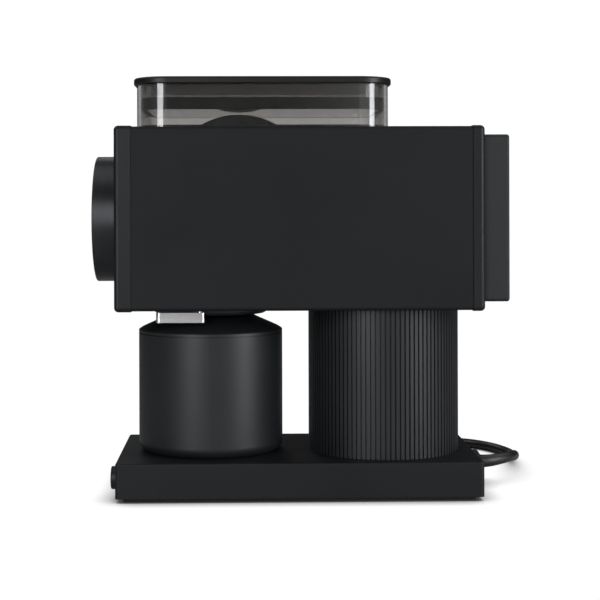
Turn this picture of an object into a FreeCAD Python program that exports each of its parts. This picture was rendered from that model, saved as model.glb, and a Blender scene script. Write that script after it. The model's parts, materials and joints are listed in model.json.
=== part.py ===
import FreeCAD, Part
import math
import os

import Sketcher

# Electric burr coffee grinder, in millimetres.
# The origin is the centre of the bottom of its box. +Z is up, -Y is the front, where the dial is,
# and +X is the side that the start button is nearer to. The drive runs along Y.

DIMENSIONS = {
    "overall_length": 239.0,
    "body_width": 105.5,
    "body_bottom": 107.6,
    "body_rear": 104.75,
    "axis_height": 160.0,
    "shell_inset": 0.5,
    "shell_wall": 2.2,
    "front_bezel_depth": 9.55,
    "rear_bezel_depth": 6.55,
    "bezel_plate": 4.0,
    "bezel_edge": 2.5,
    "front_spigot_depth": 1.6,
    "rear_spigot_depth": 5.8,
    "spigot_outside": 100.0,
    "spigot_inside": 96.0,
    "cover_width": 95.4,
    "cover_wall": 2.2,
    "dial_diameter": 74.4,
    "dial_depth": 13.55,
    "dial_wall": 3.0,
    "pad_thickness": 2.5,
    "pad_inset": 4.0,
    "base_top": 22.3,
    "base_front": -105.0,
    "base_rear": 104.0,
    "base_wall": 2.5,
    "plate_thickness": 1.5,
    "post_inset": 36.0,
    "button_x": 38.7,
    "button_height": 12.3,
    "button_radius": 6.55,
    "button_proud": 3.2,
    "gland_height": 13.4,
    "gland_radius": 5.0,
    "gland_boss": 7.0,
    "cord_diameter": 6.2,
    "column_diameter": 89.6,
    "column_y": 51.5,
    "column_wall": 3.8,
    "rib_count": 100,
    "groove_width": 0.9,
    "groove_depth": 1.0,
    "rod_spacing": 24.0,
    "hopper_length": 145.9,
    "hopper_width": 88.4,
    "hopper_y": -20.85,
    "hopper_corner": 18.0,
    "hopper_wall": 2.0,
    "hopper_bottom": 205.0,
    "hopper_top": 237.6,
    "lid_overhang": 1.8,
    "lid_thickness": 3.9,
    "seal_bottom": 223.0,
    "seal_top": 229.7,
    "cup_y": -52.0,
    "cup_radius": 42.9,
    "cup_wall": 2.0,
    "cup_top": 92.6,
    "cup_lid_top": 102.3,
    "ring_radius": 34.2,
    "ring_bottom": 103.9,
    "burr_radius": 32.0,
    "burr_thickness": 7.4,
    "burr_gap": 0.6,
    "gap_y": -52.7,
    "cavity_radius": 35.5,
    "tunnel_radius": 15.2,
    "bearing_radius": 11.0,
    "bearing_width": 7.0,
    "shaft_radius": 4.0,
    "motor_radius": 38.0,
    "motor_front": -13.0,
    "motor_rear": 74.0,
    "knocker_pin_x": 36.9,
    "knocker_pin_y": -57.1,
    "knocker_metal": 1.2,
}

CLEARANCE = 0.02  # between a bore and the pin, bearing or core that is pressed into it
RUNNING = 0.05  # radial clearance of a shaft or a pin that turns in its bore

# The cord's route: the points where its straight runs meet, each bend rounded by a tangent arc.
CORD_RUN_ROUTE = [
    (0.0, 110.0, 13.4),
    (0.0, 114.5, 13.4),
    (-3.1, 122.9, 14.2),
    (-8.9, 129.8, 14.5),
    (-16.7, 134.0, 13.8),
    (-34.0, 137.0, 11.0),
    (-62.0, 141.6, 5.6),
    (-88.0, 143.6, 3.1),
    (-108.0, 137.2, 3.1),
    (-120.6, 128.6, 3.1),
    (-129.0, 117.8, 3.1),
    (-134.2, 104.4, 3.1),
    (-136.2, 90.0, 3.1),
    (-136.4, 82.0, 3.1),
]
CORD_TAIL_ROUTE = [
    (-136.4, 40.0, 3.1),
    (-135.8, 26.0, 3.1),
    (-129.0, 10.0, 3.1),
    (-115.5, -4.0, 3.2),
    (-102.0, -16.0, 4.2),
    (-94.6, -27.0, 5.7),
    (-91.0, -39.5, 7.0),
    (-91.0, -52.0, 7.0),
]
COIL_CENTRE = (-102.4, 61.0)
COIL_MIDDLE_RADIUS = 34.0

doc = FreeCAD.newDocument("coffee_grinder")
sheet = doc.addObject("Spreadsheet::Sheet", "dims")


class Size:
    """A length worked out from the sheet: its value, and the expression that binds it to the cells."""

    def __init__(self, value, text):
        self.value = float(value)
        self.text = text

    def __add__(self, other):
        other = as_size(other)
        return Size(self.value + other.value, f"({self.text} + {other.text})")

    def __sub__(self, other):
        other = as_size(other)
        return Size(self.value - other.value, f"({self.text} - {other.text})")

    def __mul__(self, factor):
        factor = as_size(factor)
        return Size(self.value * factor.value, f"({self.text} * {factor.text})")

    def __truediv__(self, divisor):
        return Size(self.value / divisor, f"({self.text} / {divisor})")

    def __radd__(self, other):
        return as_size(other) + self

    def __rsub__(self, other):
        return as_size(other) - self

    def __neg__(self):
        return Size(-self.value, f"(0 - {self.text})")


def as_size(number):
    if isinstance(number, Size):
        return number
    return Size(number, f"({number})" if number < 0 else f"{number}")


def fill_sheet():
    for row, (alias, value) in enumerate(DIMENSIONS.items(), start=1):
        sheet.set(f"A{row}", alias)
        sheet.set(f"B{row}", str(value))
        sheet.setAlias(f"B{row}", alias)
    doc.recompute()


def dim(alias):
    return Size(DIMENSIONS[alias], f"dims.{alias}")


def bind(thing, name, length):
    length = as_size(length)
    thing.setExpression(name, length.text)


# --- Part primitives -------------------------------------------------------------------------

AXES = {
    "X": FreeCAD.Rotation(FreeCAD.Vector(0, 1, 0), 90),
    "Y": FreeCAD.Rotation(FreeCAD.Vector(1, 0, 0), -90),
    "Z": FreeCAD.Rotation(),
}


def place(thing, x, y, z, axis="Z"):
    thing.Placement = FreeCAD.Placement(FreeCAD.Vector(), AXES[axis])
    for letter, length in zip("xyz", (x, y, z)):
        bind(thing, f"Placement.Base.{letter}", length)
    return thing


def block(label, x, y, z):
    """A box between two limits on each axis."""
    thing = doc.addObject("Part::Box", label)
    x, y, z = [(as_size(low), as_size(high)) for low, high in (x, y, z)]
    bind(thing, "Length", x[1] - x[0])
    bind(thing, "Width", y[1] - y[0])
    bind(thing, "Height", z[1] - z[0])
    return place(thing, x[0], y[0], z[0])


def rod(label, radius, start, end, x=0, y=0, z=0, axis="Z"):
    """A cylinder along an axis, from start to end on that axis."""
    thing = doc.addObject("Part::Cylinder", label)
    bind(thing, "Radius", radius)
    bind(thing, "Height", as_size(end) - start)
    centre = {"X": (start, y, z), "Y": (x, start, z), "Z": (x, y, start)}[axis]
    return place(thing, *centre, axis)


def hexagon(label, radius, start, end, x=0, y=0, z=0, axis="Z"):
    """A six-sided prism along an axis."""
    thing = doc.addObject("Part::Prism", label)
    thing.Polygon = 6
    bind(thing, "Circumradius", radius)
    bind(thing, "Height", as_size(end) - start)
    centre = {"X": (start, y, z), "Y": (x, start, z), "Z": (x, y, start)}[axis]
    return place(thing, *centre, axis)


def fused(label, *pieces):
    thing = doc.addObject("Part::MultiFuse", label)
    thing.Shapes = list(pieces)
    return thing


def cut(label, base, *tools):
    thing = doc.addObject("Part::Cut", label)
    thing.Base = base
    thing.Tool = tools[0] if len(tools) == 1 else fused(f"{label}_tools", *tools)
    return thing


def group(label, pieces):
    """Separate solids in one node."""
    thing = doc.addObject("Part::Compound", label)
    thing.Links = list(pieces)
    return thing


def ring(label, outside, inside, start, end, **where):
    outer = rod(f"{label}_outside", outside, start, end, **where)
    inner = rod(f"{label}_inside", inside, start, end, **where)
    return cut(label, outer, inner)


def screws(label, points, axis, seat, tip, head, shank, head_height):
    """Socket head screws: seat is the plane under the heads and tip is the shanks' ends."""
    seat, tip = as_size(seat), as_size(tip)
    outward = 1 if seat.value > tip.value else -1
    top = seat + head_height * outward
    socket = seat + head_height * outward * 0.4
    made = []
    for number, (first, second) in enumerate(points, start=1):
        names = {"Y": ("x", "z"), "Z": ("x", "y")}[axis]
        where = {names[0]: first, names[1]: second, "axis": axis}
        name = f"{label}_{number}"
        low, high = sorted((seat, top), key=lambda end: end.value)
        head_rod = rod(f"{name}_head", head, low, high, **where)
        low, high = sorted((seat, tip), key=lambda end: end.value)
        shank_rod = rod(f"{name}_shank", shank, low, high, **where)
        low, high = sorted((socket, top), key=lambda end: end.value)
        key = hexagon(f"{name}_socket", head * 0.55, low, high, **where)
        made.append(cut(name, fused(f"{name}_blank", head_rod, shank_rod), key))
    return group(label, made)


def corners(half_x, half_y, centre_x=0, centre_y=0):
    """The four corners of a rectangle."""
    half_x, half_y = as_size(half_x), as_size(half_y)
    return [(half_x * sx + centre_x, half_y * sy + centre_y) for sx in (-1, 1) for sy in (-1, 1)]


# --- PartDesign bodies -----------------------------------------------------------------------

def new_body(label, x=0, y=0, z=0):
    body = doc.addObject("PartDesign::Body", label)
    return place(body, x, y, z)


def new_sketch(body, name, plane, offset=0):
    """An empty sketch on one of the body's own origin planes, moved along the plane's normal."""
    sketch = body.newObject("Sketcher::SketchObject", f"{body.Label}_{name}")
    face = [feature for feature in body.Origin.OriginFeatures if feature.Role == plane][0]
    sketch.AttachmentSupport = [(face, "")]
    sketch.MapMode = "FlatFace"
    bind(sketch, "AttachmentOffset.Base.z", offset)
    return sketch


def pin_point(sketch, edge, end, x, y):
    """Holds one end of a sketch's edge (or a circle's centre) at a place worked out from the sheet."""
    for kind, axis, length in (("DistanceX", -2, as_size(x)), ("DistanceY", -1, as_size(y))):
        if abs(length.value) < 1e-9:
            sketch.addConstraint(Sketcher.Constraint("PointOnObject", edge, end, axis))
            continue
        made = sketch.addConstraint(Sketcher.Constraint(kind, -1, 1, edge, end, length.value))
        sketch.setExpression(f"Constraints[{made}]", length.text)


def draw_polygon(sketch, points):
    corners_at = [FreeCAD.Vector(as_size(x).value, as_size(y).value, 0) for x, y in points]
    first = sketch.GeometryCount
    count = len(points)
    for index in range(count):
        sketch.addGeometry(Part.LineSegment(corners_at[index], corners_at[(index + 1) % count]))
    for index in range(count):
        following = first + (index + 1) % count
        sketch.addConstraint(Sketcher.Constraint("Coincident", first + index, 2, following, 1))
    for index, (x, y) in enumerate(points):
        pin_point(sketch, first + index, 1, x, y)


def draw_rectangle(sketch, x, y):
    draw_polygon(sketch, [(x[0], y[0]), (x[1], y[0]), (x[1], y[1]), (x[0], y[1])])


def draw_circle(sketch, radius, x=0, y=0):
    centre = FreeCAD.Vector(as_size(x).value, as_size(y).value, 0)
    radius = as_size(radius)
    edge = sketch.addGeometry(Part.Circle(centre, FreeCAD.Vector(0, 0, 1), radius.value))
    pin_point(sketch, edge, 3, x, y)
    made = sketch.addConstraint(Sketcher.Constraint("Radius", edge, radius.value))
    sketch.setExpression(f"Constraints[{made}]", radius.text)


def draw_rounded_rectangle(sketch, length_x, length_y, radius, centre_y=0):
    """Four straight sides and four quarter arcs, each fixed by its own ends and centre."""
    half_x, half_y, radius = as_size(length_x) / 2, as_size(length_y) / 2, as_size(radius)
    centre_y = as_size(centre_y)
    for turn, (sx, sy) in enumerate(((1, 1), (-1, 1), (-1, -1), (1, -1))):
        x = (half_x - radius) * sx
        y = (half_y - radius) * sy + centre_y
        middle = FreeCAD.Vector(x.value, y.value, 0)
        circle = Part.Circle(middle, FreeCAD.Vector(0, 0, 1), radius.value)
        arc = Part.ArcOfCircle(circle, turn * math.pi / 2, (turn + 1) * math.pi / 2)
        edge = sketch.addGeometry(arc)
        pin_point(sketch, edge, 3, x, y)
    for turn in range(4):
        start = sketch.getPoint(turn, 2)
        end = sketch.getPoint((turn + 1) % 4, 1)
        edge = sketch.addGeometry(Part.LineSegment(start, end))
        sketch.addConstraint(Sketcher.Constraint("Tangent", turn, 2, edge, 1))
        sketch.addConstraint(Sketcher.Constraint("Tangent", edge, 2, (turn + 1) % 4, 1))
        if turn < 3:
            kind = "Vertical" if turn == 1 else "Horizontal"
            sketch.addConstraint(Sketcher.Constraint(kind, edge))
    made = sketch.addConstraint(Sketcher.Constraint("Radius", 0, radius.value))
    sketch.setExpression(f"Constraints[{made}]", radius.text)


def pad(body, sketch, length, towards_normal=True):
    feature = body.newObject("PartDesign::Pad", f"{sketch.Label}_pad")
    feature.Profile = sketch
    bind(feature, "Length", length)
    feature.Reversed = not towards_normal
    body.Tip = feature
    doc.recompute()
    return feature


def pocket(body, sketch, length, towards_normal=True):
    """Cuts along the sketch plane's normal, or against it, and makes sure that something was cut."""
    before = body.Shape.Volume
    feature = body.newObject("PartDesign::Pocket", f"{sketch.Label}_pocket")
    feature.Profile = sketch
    bind(feature, "Length", length)
    feature.Reversed = towards_normal
    body.Tip = feature
    doc.recompute()
    if body.Shape.Volume > before - 1e-3:
        raise RuntimeError(f"{feature.Label} cuts nothing")
    return feature


def revolve(body, sketch, axis):
    feature = body.newObject("PartDesign::Revolution", f"{sketch.Label}_turned")
    feature.Profile = sketch
    feature.ReferenceAxis = (sketch, [axis])
    feature.Angle = 360
    body.Tip = feature
    doc.recompute()
    return feature


def polar(body, feature, sketch, axis, count):
    pattern = body.newObject("PartDesign::PolarPattern", f"{feature.Label}_pattern")
    pattern.Originals = [feature]
    pattern.Axis = (sketch, [axis])
    pattern.Angle = 360
    bind(pattern, "Occurrences", count)
    body.Tip = pattern
    doc.recompute()
    return pattern


def fillet(body, radius, wanted):
    """Rounds the edges of the body's last feature that wanted(edge) picks."""
    base = body.Tip
    names = [f"Edge{number}" for number, edge in enumerate(base.Shape.Edges, 1) if wanted(edge)]
    if not names:
        raise RuntimeError(f"{body.Label} has no such edge to round")
    feature = body.newObject("PartDesign::Fillet", f"{base.Label}_rounded")
    feature.Base = (base, names)
    bind(feature, "Radius", radius)
    body.Tip = feature
    doc.recompute()
    return feature


def lies_at(edge, axis, length):
    """Whether the whole edge lies in the plane at that length along the body's axis."""
    box = edge.BoundBox
    low, high = {"X": (box.XMin, box.XMax), "Y": (box.YMin, box.YMax), "Z": (box.ZMin, box.ZMax)}[axis]
    place_at = as_size(length).value
    return abs(low - place_at) < 1e-4 and abs(high - place_at) < 1e-4


def runs_along(edge, axis):
    """Whether the edge is a straight one along that axis."""
    box = edge.BoundBox
    spans = {"X": box.XLength, "Y": box.YLength, "Z": box.ZLength}
    others = [span for name, span in spans.items() if name != axis]
    return spans[axis] > 1e-3 and max(others) < 1e-4


def turned_on_drive_axis(label, outline, x=0, z=None):
    """A body turned about a line along Y. The outline's points are (place along Y, radius)."""
    body = new_body(label, x, 0, dim("axis_height") if z is None else z)
    sketch = new_sketch(body, "outline", "YZ_Plane")
    draw_polygon(sketch, outline)
    revolve(body, sketch, "H_Axis")
    return body


def turned_upright(label, outline, x=0, y=0):
    """A body turned about a vertical line. The outline's points are (radius, height)."""
    body = new_body(label, x, y, 0)
    sketch = new_sketch(body, "outline", "XZ_Plane")
    draw_polygon(sketch, outline)
    revolve(body, sketch, "V_Axis")
    return body


def helix_body(label, wire, mean_radius, pitch, length, x, y, z, axis="Z"):
    """A coil spring of round wire, wound about its own axis."""
    body = new_body(label)
    place(body, x, y, z, axis)
    sketch = new_sketch(body, "wire", "XZ_Plane")
    draw_circle(sketch, wire / 2, mean_radius, wire / 2)
    feature = body.newObject("PartDesign::AdditiveHelix", f"{label}_helix")
    feature.Profile = sketch
    feature.ReferenceAxis = (sketch, ["V_Axis"])
    feature.Mode = "pitch-height-angle"
    feature.Pitch = pitch
    feature.Height = length - wire
    body.Tip = feature
    doc.recompute()
    return body


# --- the base --------------------------------------------------------------------------------

def base_posts():
    """Where the bottom plate's screws go, inside the corners of the base."""
    length = dim("base_rear") - dim("base_front")
    centre = (dim("base_rear") + dim("base_front")) / 2
    return corners(dim("body_width") / 2 - 8.5, length / 2 - dim("post_inset"), 0, centre)


def column_rods():
    """Where the long screws that hold base, column and body together go."""
    return corners(dim("rod_spacing"), dim("rod_spacing"), 0, dim("column_y"))


def make_base_shell():
    """A cast tray, open below, with a post for each screw of the bottom plate."""
    half = dim("body_width") / 2
    front, rear, top = dim("base_front"), dim("base_rear"), dim("base_top")
    wall, low = dim("base_wall"), dim("pad_thickness")
    body = new_body("base_shell")
    outline = new_sketch(body, "outline", "XY_Plane", low)
    draw_rectangle(outline, (-half, half), (front, rear))
    pad(body, outline, top - low)
    fillet(body, 2.0, lambda edge: runs_along(edge, "Z"))
    fillet(body, 0.9, lambda edge: lies_at(edge, "Z", top))
    hollow = new_sketch(body, "hollow", "XY_Plane", low)
    draw_rectangle(hollow, (-half + wall, half - wall), (front + wall, rear - wall))
    pocket(body, hollow, top - low - wall)
    posts = new_sketch(body, "posts", "XY_Plane", low + dim("plate_thickness"))
    for x, y in base_posts():
        draw_circle(posts, 4.0, x, y)
    pad(body, posts, top - low - dim("plate_thickness") - wall)
    holes = new_sketch(body, "post_holes", "XY_Plane", low)
    for x, y in base_posts():
        draw_circle(holes, 1.5 + RUNNING, x, y)
    pocket(body, holes, 12.0)
    through = new_sketch(body, "top_holes", "XY_Plane", top)
    draw_circle(through, 6.0, 0, dim("column_y") - 11.5)
    for x, y in column_rods():
        draw_circle(through, 2.2, x, y)
    pocket(body, through, wall + 1, towards_normal=False)
    button = new_sketch(body, "button_hole", "XZ_Plane", -front)
    draw_circle(button, dim("button_radius") + 0.25, dim("button_x"), dim("button_height"))
    pocket(body, button, wall, towards_normal=False)
    gland = new_sketch(body, "gland_hole", "XZ_Plane", -rear)
    draw_circle(gland, dim("gland_radius") - 0.4, 0, dim("gland_height"))
    pocket(body, gland, wall, towards_normal=True)
    return body


def make_base():
    half = dim("body_width") / 2
    front, rear, top = dim("base_front"), dim("base_rear"), dim("base_top")
    wall, low, inset = dim("base_wall"), dim("pad_thickness"), dim("pad_inset")
    plate_top = low + dim("plate_thickness")
    reach = wall + 0.3
    parts = [make_base_shell()]

    plate = new_body("bottom_plate")
    outline = new_sketch(plate, "outline", "XY_Plane", low)
    draw_rectangle(outline, (-half + reach, half - reach), (front + reach, rear - reach))
    pad(plate, outline, dim("plate_thickness"))
    holes = new_sketch(plate, "holes", "XY_Plane", low)
    for x, y in base_posts():
        draw_circle(holes, 1.7, x, y)
    pocket(plate, holes, dim("plate_thickness"))
    parts.append(plate)

    foot = new_body("foot_pad")
    outline = new_sketch(foot, "outline", "XY_Plane")
    draw_rectangle(outline, (-half + inset, half - inset), (front + inset, rear - inset))
    pad(foot, outline, low)
    fillet(foot, 3.0, lambda edge: runs_along(edge, "Z"))
    fillet(foot, 0.4, lambda edge: lies_at(edge, "Z", 0))
    holes = new_sketch(foot, "holes", "XY_Plane")
    for x, y in base_posts():
        draw_circle(holes, 3.6, x, y)
    pocket(foot, holes, low)
    parts.append(foot)

    parts.append(screws("base_screws", base_posts(), "Z", low, 13.0, 2.8, 1.5, 1.7))
    parts.append(rod("dock_magnet", 15.0, top - wall - 2.8, top - wall, y=dim("cup_y")))
    return parts


def make_start_button():
    """The button slides back in its guide, against a spring, and its stem presses the switch."""
    front, wall = dim("base_front"), dim("base_wall")
    x, z, radius = dim("button_x"), dim("button_height"), dim("button_radius")
    inside = front + wall
    face = front - dim("button_proud")
    guide = turned_on_drive_axis(
        "button_guide",
        [
            (inside, radius + 0.15),
            (inside, radius + 0.9),
            (inside + 12.5, radius + 0.9),
            (inside + 12.5, 2.3),
            (inside + 10.5, 2.3),
            (inside + 10.5, radius + 0.15),
        ],
        x,
        z,
    )
    button = turned_on_drive_axis(
        "start_button",
        [
            (face, 0),
            (face, radius - 0.7),
            (face + 0.2, radius - 0.2),
            (face + 0.7, radius),
            (inside + 3.0, radius),
            (inside + 3.0, 2.0),
            (inside + 13.4, 2.0),
            (inside + 13.4, 0),
        ],
        x,
        z,
    )
    # the spring has the length it is pressed to, so that the button's whole stroke clears it
    spring = helix_body("button_spring", 0.7, 3.4, 1.4, 5.6, x, inside + 4.6, z, "Y")
    switch = block("micro_switch", (x - 3.2, x + 3.2), (inside + 15.0, inside + 27.5), (z - 5, z + 5))
    return [guide, button, spring, switch]


# --- the cord --------------------------------------------------------------------------------

def tube_along(label, route, diameter):
    """A round tube along straight runs joined by tangent arcs, each as large as its two runs allow."""
    points = [FreeCAD.Vector(*point) for point in route]
    edges = []
    radii = []
    last = points[0]
    for before, corner, after in zip(points, points[1:], points[2:]):
        arriving, leaving = corner - before, after - corner
        half_turn = arriving.getAngle(leaving) / 2
        setback = 0.45 * min(arriving.Length, leaving.Length)
        radius = setback / math.tan(half_turn)
        arriving.normalize()
        leaving.normalize()
        start = corner - arriving * setback
        end = corner + leaving * setback
        towards_centre = leaving - arriving
        towards_centre.normalize()
        middle = corner + towards_centre * (radius / math.cos(half_turn) - radius)
        edges.append(Part.LineSegment(last, start).toShape())
        edges.append(Part.Arc(start, middle, end).toShape())
        radii.append(round(radius, 1))
        last = end
    edges.append(Part.LineSegment(last, points[-1]).toShape())
    path = Part.Wire(edges)
    heading = points[1] - points[0]
    section = Part.Wire(Part.Circle(points[0], heading, diameter / 2).toShape())
    shape = path.makePipeShell([section], True, True)
    expected = math.pi * diameter ** 2 / 4 * path.Length
    print(f"{label}: length {path.Length:.1f}, radii {radii}, volume ratio {shape.Volume / expected:.4f}")
    thing = doc.addObject("Part::Feature", label)
    thing.Shape = shape
    thing.Placement = FreeCAD.Placement()
    return thing


def make_cord():
    """The mains cord: out of the gland, round on to the table, into a coil, and on to its plug."""
    diameter = DIMENSIONS["cord_diameter"]
    z, radius, boss = dim("gland_height"), dim("gland_radius"), dim("gland_boss")
    rear, wall = dim("base_rear"), dim("base_wall")
    gland = turned_on_drive_axis(
        "cable_gland",
        [
            (rear - wall - 2, 0),
            (rear - wall - 2, radius + 1.2),
            (rear - wall, radius + 1.2),
            (rear - wall, radius - 0.5),
            (rear, radius - 0.5),
            (rear, boss),
            (rear + 3.6, boss),
            (rear + 4.4, boss - 0.5),
            (rear + 6.0, boss - 2.8),
            (rear + 6.0, 0),
        ],
        0,
        z,
    )
    run = tube_along("cord_run", CORD_RUN_ROUTE, diameter)
    tail = tube_along("cord_tail", CORD_TAIL_ROUTE, diameter)
    coil = turned_upright(
        "cord_coil",
        [
            (COIL_MIDDLE_RADIUS - diameter, 0),
            (COIL_MIDDLE_RADIUS + diameter, 0),
            (COIL_MIDDLE_RADIUS + diameter, diameter),
            (COIL_MIDDLE_RADIUS + diameter / 2, diameter * 1.9),
            (COIL_MIDDLE_RADIUS - diameter / 2, diameter * 1.9),
            (COIL_MIDDLE_RADIUS - diameter, diameter),
        ],
        *COIL_CENTRE,
    )
    x, y, height = CORD_TAIL_ROUTE[-1]
    plug = new_body("plug_body", x, y, height)
    collar = new_sketch(plug, "collar", "XZ_Plane")
    draw_circle(collar, 5.2)
    pad(plug, collar, 12.0)
    head = new_sketch(plug, "head", "XZ_Plane", 12.0)
    draw_rectangle(head, (-13.0, 13.0), (-7.0, 7.0))
    pad(plug, head, 23.0)
    fillet(plug, 4.0, lambda edge: runs_along(edge, "Y"))
    pins = []
    for side in (-1, 1):
        across = x + side * 9.5
        sleeve = rod(f"plug_pin_{side}", 2.0, y - 35.0 - 19.0, y - 35.0, x=across, z=height, axis="Y")
        pins.append(sleeve)
    return [gland, run, tail, coil, plug, group("plug_pins", pins)]


# --- the column ------------------------------------------------------------------------------

def make_column():
    """A ribbed tube between base and body, with the control board inside."""
    low, high, y = dim("base_top"), dim("body_bottom") + dim("shell_inset"), dim("column_y")
    outside = dim("column_diameter") / 2
    tube = new_body("column_shell", 0, y, 0)
    outline = new_sketch(tube, "outline", "XY_Plane", low)
    draw_circle(outline, outside)
    draw_circle(outline, outside - dim("column_wall"))
    pad(tube, outline, high - low)
    groove = new_sketch(tube, "groove", "XY_Plane", low)
    half = dim("groove_width") / 2
    draw_rectangle(groove, (outside - dim("groove_depth"), outside + 1), (-half, half))
    cut_one = pocket(tube, groove, high - low)
    polar(tube, cut_one, outline, "N_Axis", dim("rib_count"))

    seat, tip = low - dim("base_wall"), high + 5.0
    tie_screws = screws("column_screws", column_rods(), "Z", seat, tip, 4.0, 2.0, 3.5)
    board = block("control_board", (-30, 30), (y - 0.8, y + 0.8), (low, low + 74))
    face = y - 0.8
    transformer = block("transformer", (-26, -2), (face - 18, face), (low + 16, low + 40))
    relay = block("relay", (6, 24), (face - 16, face), (low + 16, low + 30))
    terminals = block("board_terminals", (-6, 6), (face - 16, face), (low + 4, low + 13))
    capacitors = [
        rod(f"capacitor_{x}", 6.0, face - 20, face, x=x, z=low + 50, axis="Y") for x in (-18, -3, 12)
    ]
    sink = block("heat_sink_back", (-26, 26), (y + 0.8, y + 3.8), (low + 20, low + 66))
    fins = [
        block(f"heat_sink_fin_{number}", (x, x + 1.5), (y + 3.8, y + 16), (low + 20, low + 66))
        for number, x in enumerate((-26, -16, -6, 4, 14, 24.5), start=1)
    ]
    heat_sink = fused("heat_sink", sink, *fins)
    components = group("board_components", [transformer, relay, terminals, *capacitors, heat_sink])

    lead_radius = 3.0
    entry = dim("base_rear") - dim("base_wall") - 2
    wire_y = y - 11.5
    along = rod("mains_lead_along", lead_radius, wire_y, entry, z=dim("gland_height"), axis="Y")
    up = rod("mains_lead_up", lead_radius, dim("gland_height"), low + 4, y=wire_y)
    knee = doc.addObject("Part::Sphere", "mains_lead_knee")
    bind(knee, "Radius", lead_radius)
    place(knee, 0, wire_y, dim("gland_height"))
    mains_lead = fused("mains_lead", along, up, knee)
    motor_lead = rod("motor_lead", 2.5, low + 60, high + 5.2, x=34, y=wire_y)
    connector = block("motor_connector", (29, 39), (wire_y - 6, wire_y + 6), (high + 5.2, high + 14))
    wiring = group("inner_wiring", [mains_lead, fused("motor_wiring", motor_lead, connector)])
    return [tube, tie_screws, board, components, wiring]


# --- the body --------------------------------------------------------------------------------

def make_body_shell():
    """A square tube along Y, open at both ends, cut out above for the hopper and below for the chute."""
    half = dim("body_width") / 2 - dim("shell_inset")
    low = dim("body_bottom") + dim("shell_inset")
    high = dim("body_bottom") + dim("body_width") - dim("shell_inset")
    wall = dim("shell_wall")
    front = -dim("overall_length") / 2 + dim("dial_depth") + 0.6 + dim("front_bezel_depth")
    rear = dim("body_rear") - dim("rear_bezel_depth")
    body = new_body("body_shell")
    outline = new_sketch(body, "outline", "XZ_Plane", -front)
    draw_rectangle(outline, (-half, half), (low, high))
    pad(body, outline, rear - front, towards_normal=False)
    fillet(body, 2.2, lambda edge: runs_along(edge, "Y"))
    hollow = new_sketch(body, "hollow", "XZ_Plane", -front)
    draw_rectangle(hollow, (-half + wall, half - wall), (low + wall, high - wall))
    pocket(body, hollow, rear - front, towards_normal=False)
    opening = new_sketch(body, "hopper_opening", "XY_Plane", high)
    length_y, length_x = dim("hopper_length") + 0.8, dim("hopper_width") + 0.8
    draw_rounded_rectangle(opening, length_x, length_y, dim("hopper_corner") + 0.4, dim("hopper_y"))
    pocket(body, opening, wall, towards_normal=False)
    below = new_sketch(body, "bottom_holes", "XY_Plane", low)
    draw_circle(below, 27.0, 0, dim("cup_y"))
    draw_circle(below, 4.0, 34.0, dim("column_y") - 11.5)
    draw_circle(below, 1.5 + CLEARANCE, dim("knocker_pin_x"), dim("knocker_pin_y"))
    for x, y in column_rods():
        draw_circle(below, 2.2, x, y)
    pocket(body, below, wall)
    return body


def make_front_bezel():
    """The front plate: its rim is flush with the shell's ends and its spigot goes inside the shell."""
    half = dim("body_width") / 2
    low, high = dim("body_bottom"), dim("body_bottom") + dim("body_width")
    middle = dim("body_bottom") + half
    face = -dim("overall_length") / 2 + dim("dial_depth") + 0.6
    seam = face + dim("front_bezel_depth")
    outer, inner = dim("spigot_outside") / 2, dim("spigot_inside") / 2
    body = new_body("front_bezel")
    outline = new_sketch(body, "outline", "XZ_Plane", -face)
    draw_rectangle(outline, (-half, half), (low, high))
    pad(body, outline, dim("front_bezel_depth"), towards_normal=False)
    fillet(body, 2.6, lambda edge: runs_along(edge, "Y"))
    fillet(body, dim("bezel_edge"), lambda edge: lies_at(edge, "Y", face))
    spigot = new_sketch(body, "spigot", "XZ_Plane", -seam)
    draw_rectangle(spigot, (-outer, outer), (middle - outer, middle + outer))
    pad(body, spigot, dim("front_spigot_depth"), towards_normal=False)
    hollow = new_sketch(body, "hollow", "XZ_Plane", -face - dim("bezel_plate"))
    draw_rectangle(hollow, (-inner, inner), (middle - inner, middle + inner))
    depth = dim("front_bezel_depth") + dim("front_spigot_depth") - dim("bezel_plate")
    pocket(body, hollow, depth, towards_normal=False)
    holes = new_sketch(body, "holes", "XZ_Plane", -face)
    draw_circle(holes, 12.0 + RUNNING, 0, dim("axis_height"))
    for x, z in corners(26.5, 26.5, 0, dim("axis_height")):
        draw_circle(holes, 1.7, x, z)
    pocket(body, holes, dim("bezel_plate"), towards_normal=False)
    heads = new_sketch(body, "screw_seats", "XZ_Plane", -face)
    for x, z in corners(26.5, 26.5, 0, dim("axis_height")):
        draw_circle(heads, 3.2, x, z)
    pocket(body, heads, 2.2, towards_normal=False)
    return body


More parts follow.
